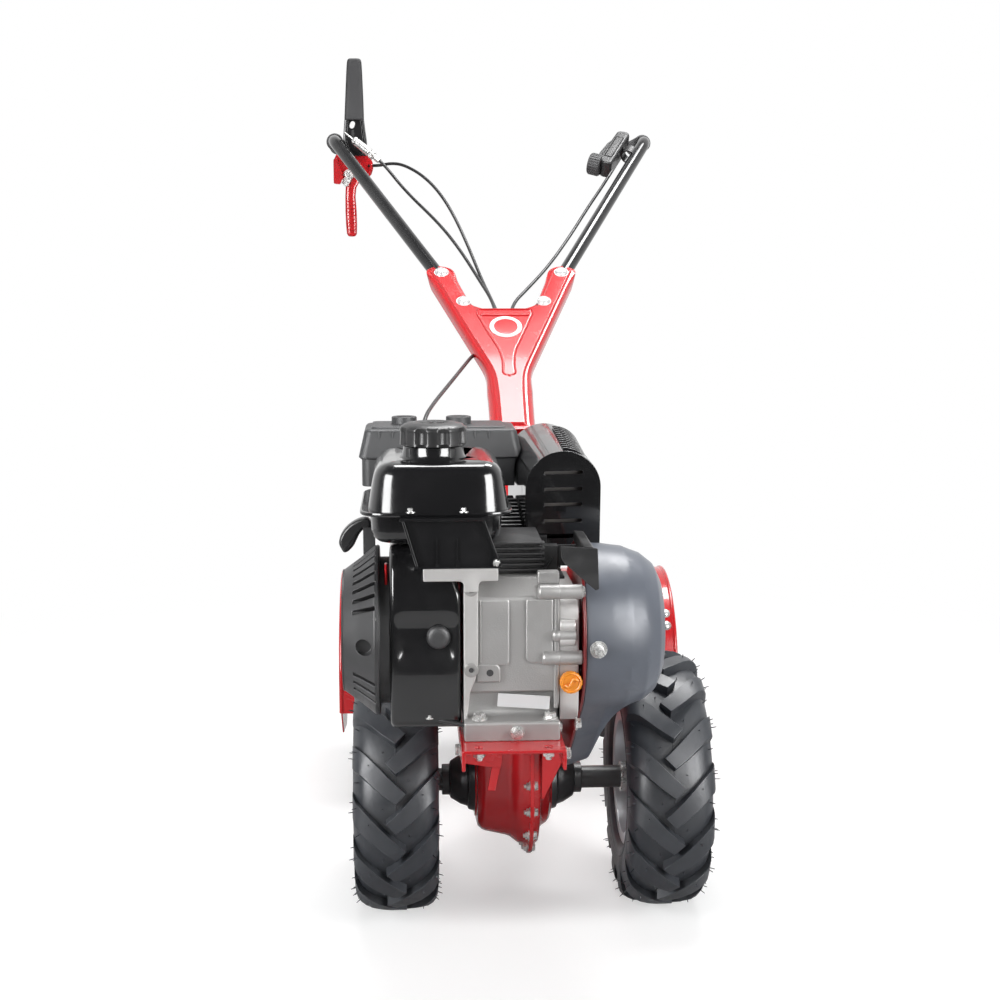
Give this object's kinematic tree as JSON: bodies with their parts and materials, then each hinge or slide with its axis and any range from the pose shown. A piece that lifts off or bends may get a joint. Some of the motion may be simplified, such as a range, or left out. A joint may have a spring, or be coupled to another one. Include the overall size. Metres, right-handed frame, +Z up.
{
  "type": "walk-behind rotary tiller",
  "caption": "Two-wheel walk-behind rotary tiller: petrol engine on a front bracket, gear case on driven wheels, hooded tine rotor behind, and a pivoting handlebar column.",
  "frame": {"origin": "on the floor, in the middle of the whole machine's box", "axes": "+Z up, -Y towards the engine end, +Y towards the handlebar grips, +X to the belt cover's side"},
  "size_m": [0.5938, 1.4024, 1.1996],
  "materials": {
    "red_paint": "glossy red enamel on pressed steel",
    "black_gloss": "glossy black enamel",
    "black_matte": "satin black moulding",
    "cast_aluminium": "die-cast, lightly rough",
    "grey_cover": "smooth satin dark blue-grey",
    "dark_red": "dark red enamel",
    "black_steel": "satin black",
    "bright_steel": "zinc plated",
    "rim_silver": "silver enamel",
    "tyre_rubber": "black rubber with an agricultural tread",
    "black_rubber": "black rubber",
    "grey_plastic": "dark grey moulding",
    "orange_plastic": "orange moulding"
  },
  "bodies": {
    "chassis": {"gear_case_left": "red_paint", "gear_case_right": "red_paint", "engine_bracket": "red_paint", "tiller_case": "red_paint", "tiller_hood": "red_paint", "hood_skirt_left": "red_paint", "hood_skirt_right": "red_paint", "column_yoke": "red_paint", "drive_housing": "red_paint", "fan_shroud": "black_gloss", "fuel_tank": "black_gloss", "heat_shield": "black_gloss", "recoil_starter": "black_matte", "fuel_cap": "black_matte", "tank_stand": "black_matte", "muffler_stay": "black_matte", "air_cleaner_base": "black_matte", "air_cleaner_cover": "black_matte", "pull_grip": "black_matte", "crankcase": "cast_aluminium", "crankcase_cover": "cast_aluminium", "finned_cylinder": "cast_aluminium", "carburettor": "cast_aluminium", "belt_cover": "grey_cover", "valve_cover": "grey_cover", "belt_backplate": "dark_red", "axle_bell_left": "black_steel", "axle_bell_right": "black_steel", "depth_spur": "black_steel", "spur_bracket": "black_steel", "drain_plug": "bright_steel", "pivot_bolt": "bright_steel", "muffler": "bright_steel", "carburettor_cable": "black_rubber", "oil_dipstick": "orange_plastic"},
    "left_wheel": {"left_tyre": "tyre_rubber", "left_rim": "rim_silver", "left_hub": "black_steel"},
    "right_wheel": {"right_tyre": "tyre_rubber", "right_rim": "rim_silver", "right_hub": "black_steel"},
    "rotor": {"rotor_shaft": "black_steel", "tine_rotor_left": "black_steel", "tine_rotor_right": "black_steel"},
    "handlebar": {"handle_column": "red_paint", "column_leg": "red_paint", "handle_tube_left": "black_gloss", "handle_tube_right": "black_gloss", "handle_grip_left": "black_rubber", "handle_grip_right": "black_rubber", "lever_bracket": "red_paint", "clutch_lever": "black_steel", "reverse_lever": "red_paint", "cable_adjuster": "bright_steel", "throttle_control": "grey_plastic", "clutch_cable": "black_rubber", "reverse_cable": "black_rubber", "throttle_cable": "black_rubber"}
  },
  "joints": [
    {"name": "left_wheel_spin", "type": "hinge", "parent": "chassis", "child": "left_wheel", "pos_m": [-0.171, -0.3522, 0.165], "axis": [1, 0, 0], "continuous": true},
    {"name": "right_wheel_spin", "type": "hinge", "parent": "chassis", "child": "right_wheel", "pos_m": [0.171, -0.3522, 0.165], "axis": [1, 0, 0], "continuous": true},
    {"name": "rotor_spin", "type": "hinge", "parent": "chassis", "child": "rotor", "pos_m": [0, 0.1478, 0.195], "axis": [1, 0, 0], "continuous": true},
    {"name": "handlebar_height", "type": "hinge", "parent": "chassis", "child": "handlebar", "pos_m": [0, -0.2022, 0.332], "axis": [1, 0, 0], "range_deg": [-10, 12], "deforming": ["carburettor_cable"]}
  ]
}
